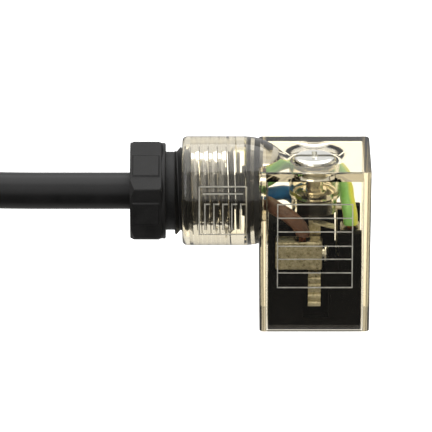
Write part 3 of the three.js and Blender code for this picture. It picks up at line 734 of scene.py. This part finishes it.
steps = [("UNION", barrel), ("DIFFERENCE", rounded_block(cavity_x, cavity_y, -1, cavity_z, 0.35)),
         ("DIFFERENCE", chamber), ("DIFFERENCE", mouth), ("DIFFERENCE", core_way),
         ("DIFFERENCE", bore_thread), ("UNION", boss), ("DIFFERENCE", screw_way),
         ("DIFFERENCE", on_cable_axis(barrel_mark(barrel_radius - 0.16, barrel_radius + 0.3)))]
housing = piece_from(worked(cap, *steps), "clear_housing", clear_finish())
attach(housing, "plug")
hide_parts("housing_shell")

# The raised marks come out of the mould frosted, so they show lighter than the polished wall; their lighter
# colour also stands in for the highlights their ridges catch, a painted highlight.
frosted_highlight_mark = worked_finish("frosted_highlight_mark", "8f8c82", "c4c0b3", (0.35, 0.6), grain=3000.0, cloud=800.0,
                             Transmission_Weight=0.55, IOR=1.47)
barrel_lines = on_cable_axis(barrel_mark(barrel_radius - 0.13, barrel_radius - 0.02))
for name, form in (("front_relief", label_frame()), ("barrel_relief", barrel_lines)):
    relief = piece_from(form, name, frosted_highlight_mark, weighted=False)
    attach(relief, "plug")


# ---- Gland nut -----------------------------------------------------------------------------------
# A black glass-filled nylon nut: a hexagon with a raised panel on each flat, a collar, and a thread
# that draws it into the barrel. It closes the rubber seal on the cable.
hex_end_x = -21.7
hex_flats = 13.65
nut_turn_deg = 23
black_nylon = worked_finish("black_nylon", "090908", "131211", (0.42, 0.58), grain=5200.0, cloud=300.0,
                            lift=0.06, Specular_IOR_Level=0.32)


def hexagon():
    """The nut's hexagon, lying along X, with a raised panel on each flat."""
    corner_radius = hex_flats / 2 / math.cos(math.pi / 6)
    form = bmesh.new()
    bmesh.ops.create_cone(form, cap_ends=True, segments=6, radius1=corner_radius,
                          radius2=corner_radius, depth=hex_end_x - nut_face_x)
    flats = [f for f in form.faces if abs(f.normal.z) < 0.1]
    bmesh.ops.inset_individual(form, faces=flats, thickness=0.48)
    for panel in flats:
        tangent = panel.normal.cross(Vector((0, 0, 1))).normalized()
        middle = panel.calc_center_median()
        for corner in panel.verts:
            across = (corner.co - middle).dot(tangent)
            corner.co -= tangent * across * 0.50
    bmesh.ops.inset_individual(form, faces=flats, thickness=0.14, depth=0.16)
    ridges = [e for e in form.edges if len(e.link_faces) == 2 and e.calc_face_angle(0) > 0.7]
    bmesh.ops.bevel(form, geom=ridges, offset=0.16, offset_type="OFFSET", segments=3, profile=0.5,
                    affect="EDGES", material=-1)
    bmesh.ops.rotate(form, cent=(0, 0, 0), matrix=Matrix.Rotation(math.pi / 2, 3, "Y"), verts=form.verts)
    bmesh.ops.recalc_face_normals(form, faces=form.faces)
    middle = (nut_face_x + hex_end_x) / 2
    top = max(form.verts, key=lambda v: math.hypot(v.co.y, v.co.z))
    turn = math.radians(180 - nut_turn_deg) - math.atan2(top.co.z, top.co.y)
    bmesh.ops.rotate(form, cent=(0, 0, 0), matrix=Matrix.Rotation(turn, 3, "X"), verts=form.verts)
    bmesh.ops.translate(form, vec=(middle, 0, 0), verts=form.verts)
    return form


nut_limit = spun("limit", [(0, nut_face_x), (7.15, nut_face_x), (7.95, nut_face_x + 0.75),
                 (7.95, hex_end_x - 0.4), (7.6, hex_end_x), (0, hex_end_x)], "X", 96)
nut_collar = spun("collar", [(0, hex_end_x - 0.5), (6.6, hex_end_x - 0.5), (6.85, hex_end_x + 0.05),
                  (6.85, -21.3), (6.7, -21.2), (5.6, -21.2), (5.6, -19.5), (0, -19.5)], "X", 96)
nut_thread = threaded_form(thread_pitch, 5.64, 6.25, -19.9, -11.4)
nut_bore = spun("bore", [(0, nut_face_x - 1), (4.0, nut_face_x - 1), (4.0, nut_face_x),
                (3.25, nut_face_x + 0.8), (3.0, nut_face_x + 1.2), (3.0, -10), (0, -10)], "X", 96)
nut = worked(hexagon(), ("INTERSECT", nut_limit), ("UNION", nut_collar), ("UNION", nut_thread),
             ("DIFFERENCE", nut_bore))
gland_nut = piece_from(on_cable_axis(nut), "gland_nut_moulding", black_nylon)
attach(gland_nut, "gland_nut")
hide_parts("gland_nut")


# ---- Thrust washer and sealing grommet -----------------------------------------------------------
# The nut pushes a thin plastic washer against a ribbed rubber grommet.
# The grommet swells onto the cable and closes the barrel.
push_washer = piece_from(on_cable_axis(spun("washer", [(3.0, -11.1), (5.4, -11.1), (5.5, -11.0),
                         (5.5, -10.75), (5.4, -10.65), (3.0, -10.65), (3.0, -11.1)], "X", 80)),
                         "push_washer", black_nylon)
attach(push_washer, "thrust_washer")
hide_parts("thrust_washer")
grommet = piece_from(on_cable_axis(spun("grommet", [(3.0, -10.35), (3.5, -10.35), (3.6, -10.25),
                     (3.6, -9.8), (5.75, -9.8), (5.9, -9.65), (5.9, -9.25), (5.75, -9.1), (5.75, -8.9),
                     (5.9, -8.75), (5.9, -8.05), (5.75, -7.9), (3.0, -7.9), (3.0, -10.35)], "X", 80)),
                     "cable_seal", soft_rubber)
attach(grommet, "plug")
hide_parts("sealing_grommet")


# ---- Cores inside the plug -----------------------------------------------------------------------
# The three cores fan out behind the seal: brown and blue bend down into their clamps, and the earth
# core goes over and round the boss to the closed side. Bare copper strands run into each clamp.
copper = worked_finish("copper_strands", "9a5530", "d08a58", (0.25, 0.4), grain=2600.0, cloud=900.0,
                       Metallic=1.0)
strand_radius = 0.165
strand_spread = 0.33
strand_length = 3.4
strand_middle_z = 12.0
core_ways = {
    "brown": [(-7.3, -1.6, 17.7), (-6.6, -1.8, 17.7), (-5.6, -3.1, 17.5), (-3.9, -4.3, 16.9),
              (-2.4, -4.7, 15.7), (-1.75, -4.7, 14.6), (-1.75, -4.7, 14.0)],
    "blue": [(-7.3, 1.6, 17.6), (-6.6, 1.8, 17.6), (-5.6, 2.8, 17.4), (-3.9, 4.1, 17.0),
             (-2.4, 4.7, 15.7), (-1.75, 4.7, 14.6), (-1.75, 4.7, 14.0)],
    "green_yellow": [(-7.3, 0.4, 20.3), (-6.5, 1.0, 20.4), (-5.0, 2.9, 20.7), (-2.2, 4.8, 20.5),
                     (1.5, 4.9, 20.2), (3.4, 4.2, 19.6), (4.5, 2.9, 18.5), (4.7, 1.4, 17.4),
                     (4.95, 0.2, 16.4), (5.15, -0.25, 15.3), (5.2, -0.35, 14.0)],
}
for core, points in core_ways.items():
    core_tube("wired_core_" + core, points, core, "core_" + core)
    x, y, _ = points[-1]
    strands = bmesh.new()
    for k in range(7):
        around = math.tau * k / 6
        reach = 0.0 if k == 6 else strand_spread
        made = bmesh.ops.create_cone(strands, cap_ends=True, segments=10, radius1=strand_radius,
                                     radius2=strand_radius, depth=strand_length)
        bmesh.ops.translate(strands, vec=(x + reach * math.cos(around), y + reach * math.sin(around),
                            strand_middle_z), verts=made["verts"])
    bundle = piece_from(strands, "bare_strands_" + core, copper)
    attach(bundle, "plug")
    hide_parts("strand_" + core)


# ---- Contact insert ------------------------------------------------------------------------------
# A black glass-filled nylon block that carries the contacts and guides the fixing screw.
# It snaps into the housing from below; each side has a pocket for a terminal and a window.
insert_nylon = worked_finish("insert_nylon", "030303", "080707", (0.5, 0.62), grain=4200.0, cloud=260.0,
                             lift=0.03, Specular_IOR_Level=0.04)
keep_bevelled("contact_insert", "contact_carrier", 0.1, insert_nylon, "plug", 2)


# ---- Terminals -----------------------------------------------------------------------------------
# Nickel-plated brass: a drilled and tapped block, a stamped contact with two sprung leaves and a
# bent tab, a pressure pad, and a clamp screw with a domed head and a slot.
nickel = worked_finish("nickel_plate", "a29b82", "e6dfc6", (0.24, 0.42), grain=2400.0, cloud=2200.0,
                       lift=0.03, Metallic=1.0)
bright_nickel = worked_finish("bright_nickel", "e4e2da", "fbfaf4", (0.12, 0.24), grain=2000.0, cloud=350.0,
                              lift=0.02, Metallic=1.0)
clamp_y = -4.7
clamp_z = 11.25
strip_thickness = 0.27
rib_shapes = ((3.7, 0.4, 0.4), (4.8, 0.42, 0.4), (6.4, 0.3, 0.22), (7.4, 0.3, 0.2))
earth_shift = (0.5, 1.4, 0)


def clamp_block():
    """The front block: rounded edges, a wire hole from above, a tapped hole and a chamber between them."""
    wire_hole = spun("wire_hole", [(0, 11.0), (1.05, 11.0), (1.05, 13.2), (1.25, 13.45), (1.25, 14),
                     (0, 14)], "Z", 40)
    bmesh.ops.translate(wire_hole, vec=(-1.75, clamp_y, 0), verts=wire_hole.verts)
    screw_hole = spun("screw_hole", [(0, -0.9), (1.18, -0.9), (1.18, 1.0), (1.3, 1.15), (1.3, 2), (0, 2)],
                      "X", 40)
    bmesh.ops.translate(screw_hole, vec=(0, clamp_y, clamp_z), verts=screw_hole.verts)
    return worked(box_form(-5.65, 1.1, -6.1, -3.3, 9.1, 13.4, 0.32),
                  ("DIFFERENCE", wire_hole), ("DIFFERENCE", box_form(-2.8, 0.5, -5.7, -3.7, 10.0, 12.5)),
                  ("DIFFERENCE", screw_hole), ("DIFFERENCE", box_form(0.1, 0.3, -6.4, -5.95, 10.6, 12.3)),
                  ("DIFFERENCE", box_form(-4.95, -2.6, -6.4, -6.02, 10.72, 10.84)),
                  ("DIFFERENCE", box_form(-2.72, -2.6, -6.4, -6.02, 10.95, 12.9)))


def strip(path, x0, x1, thickness):
    """A sheet-metal strip: a line of (y, z) points drawn out along X and given its thickness."""
    form = bmesh.new()
    points = [form.verts.new((x0, y, z)) for y, z in path]
    edges = [form.edges.new(pair) for pair in zip(points, points[1:])]
    drawn = bmesh.ops.extrude_edge_only(form, edges=edges)["geom"]
    bmesh.ops.translate(form, vec=(x1 - x0, 0, 0),
                        verts=[g for g in drawn if isinstance(g, bmesh.types.BMVert)])
    bmesh.ops.recalc_face_normals(form, faces=form.faces)
    bmesh.ops.solidify(form, geom=form.faces[:], thickness=thickness)
    bmesh.ops.recalc_face_normals(form, faces=form.faces)
    return form


def leaf_bump(side, z, tall, proud):
    """A rounded rib across a sprung leaf, where it grips the coil's blade."""
    rib = bmesh.new()
    bmesh.ops.create_cone(rib, cap_ends=True, segments=28, radius1=1.0, radius2=1.0, depth=1.78)
    bmesh.ops.rotate(rib, cent=(0, 0, 0), matrix=Matrix.Rotation(math.pi / 2, 3, "Y"), verts=rib.verts)
    bmesh.ops.scale(rib, vec=(1, proud, tall), verts=rib.verts)
    bmesh.ops.translate(rib, vec=(0, clamp_y + side * 0.5, z), verts=rib.verts)
    return rib


def spring_contact():
    """Two ribbed leaves on a bridge, a riser from the bridge, and a tab bent from the riser's end."""
    outer = [(clamp_y - 0.42, 3.15), (clamp_y - 0.42, 8.19)]
    bridge = [(clamp_y - 0.36, 8.33), (clamp_y - 0.18, 8.4), (clamp_y + 0.18, 8.4), (clamp_y + 0.36, 8.33)]
    leaves = strip(outer + bridge + [(2 * clamp_y - y, z) for y, z in reversed(outer)], -0.9, 0.9,
                   strip_thickness)
    riser = strip([(clamp_y, 8.35), (-3.2, 8.35), (-2.95, 8.44), (-2.86, 8.7), (-2.86, 15.5)], -0.87, 0.87,
                  0.24)
    tab = box_form(-0.2, 2.95, -4.45, -2.75, 15.5, 15.74, 0.05)
    bmesh.ops.rotate(tab, cent=(0, 0, 15.6), matrix=Matrix.Rotation(math.radians(15.5), 3, "Y"),
                     verts=tab.verts)
    ribs = [("UNION", leaf_bump(side, z, tall, proud)) for side in (-1, 1)
            for z, tall, proud in rib_shapes]
    return worked(leaves, *ribs, ("UNION", riser), ("UNION", tab))


def clamp_screw():
    """The front clamp screw: a short thread and a slotted, domed head."""
    thread = threaded_form(0.4, 0.76, 0.98, -0.3, 1.25, 32)
    dome = spun("dome", [(0, 1.1), (0.76, 1.1), (0.76, 1.4), (1.22, 1.4), (1.3, 1.48), (1.3, 1.62),
                (1.18, 1.8), (0.95, 1.93), (0.6, 2.0), (0, 2.0)], "X", 64)
    screw = worked(thread, ("UNION", dome), ("DIFFERENCE", box_form(1.62, 3, -2, 2, -0.19, 0.19)))
    bmesh.ops.translate(screw, vec=(0, clamp_y, clamp_z), verts=screw.verts)
    return screw


def pressure_pad():
    """The small plate that the clamp screw pushes onto the strands."""
    return box_form(-0.95, -0.6, clamp_y - 0.8, clamp_y + 0.8, clamp_z - 0.95, clamp_z + 0.95, 0.09)


def turned_to(side, form, turned_screw=False):
    """A front terminal's form, turned or moved to where the terminal of that side sits."""
    if side == "rear" and turned_screw:
        bmesh.ops.translate(form, vec=(0, -2 * clamp_y, 0), verts=form.verts)
    elif side == "rear":
        bmesh.ops.scale(form, vec=(1, -1, 1), verts=form.verts)
        bmesh.ops.recalc_face_normals(form, faces=form.faces)
    elif side == "earth":
        bmesh.ops.rotate(form, cent=(0, 0, 0), matrix=Matrix.Rotation(math.pi / 2, 3, "Z"),
                         verts=form.verts)
        bmesh.ops.translate(form, vec=earth_shift, verts=form.verts)
    return form


for side in ("front", "rear", "earth"):
    for name, form, finish, node, body, slot in (
            ("clamp_block_", turned_to(side, clamp_block()), nickel, "terminal_block_", "plug", "nickel"),
            ("spring_contact_", turned_to(side, spring_contact()), nickel, "contact_", "plug", "nickel"),
            ("pressure_pad_", turned_to(side, pressure_pad()), tinned_copper, "clamp_pad_",
             "clamp_pad_" + side, "tinned"),
            ("clamp_screw_", turned_to(side, clamp_screw(), True), bright_nickel, "terminal_screw_",
             "terminal_screw_" + side, "bright_nickel")):
        part = piece_from(form, name + side, finish)
        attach(part, body)
        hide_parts(node + side)


# ---- Fixing screw and its washer -----------------------------------------------------------------
# An M3 cheese-head screw, bright plated, that holds the plug on the coil. Its head takes a flat
# or a cross blade, and a small washer spreads its pull on the boss.
screw_head_z = 22.2
head_top_z = 24.2
head = spun("head", [(0, screw_head_z), (2.8, screw_head_z), (2.9, screw_head_z + 0.1),
            (2.9, head_top_z - 0.45), (2.82, head_top_z - 0.22), (2.6, head_top_z - 0.08),
            (2.2, head_top_z), (0, head_top_z)], "Z", 96)
shank = spun("shank", [(0, 7.2), (1.23, 7.2), (1.23, screw_head_z + 0.3), (0, screw_head_z + 0.3)],
             "Z", 48)
screw_thread = threaded_form(0.5, 1.2, 1.5, 0.304, 7.296, 32, "Z")
blade_way = box_form(-4, 4, -0.375, 0.375, head_top_z - 0.9, head_top_z + 1)
cross_way = box_form(-0.37, 0.37, -1.6, 1.6, head_top_z - 0.86, head_top_z + 1, 0.1)
screw = worked(head, ("UNION", shank), ("UNION", screw_thread), ("DIFFERENCE", blade_way),
               ("DIFFERENCE", cross_way))
fixing_screw = piece_from(screw, "plug_screw", bright_nickel)
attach(fixing_screw, "fixing_screw")
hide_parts("fixing_screw")
head_washer = piece_from(spun("washer", [(1.8, 21.5), (2.8, 21.5), (2.9, 21.6), (2.9, 21.8),
                         (2.8, 21.9), (1.8, 21.9), (1.8, 21.5)], "Z", 80), "head_washer", bright_nickel)
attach(head_washer, "screw_washer")
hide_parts("screw_washer")
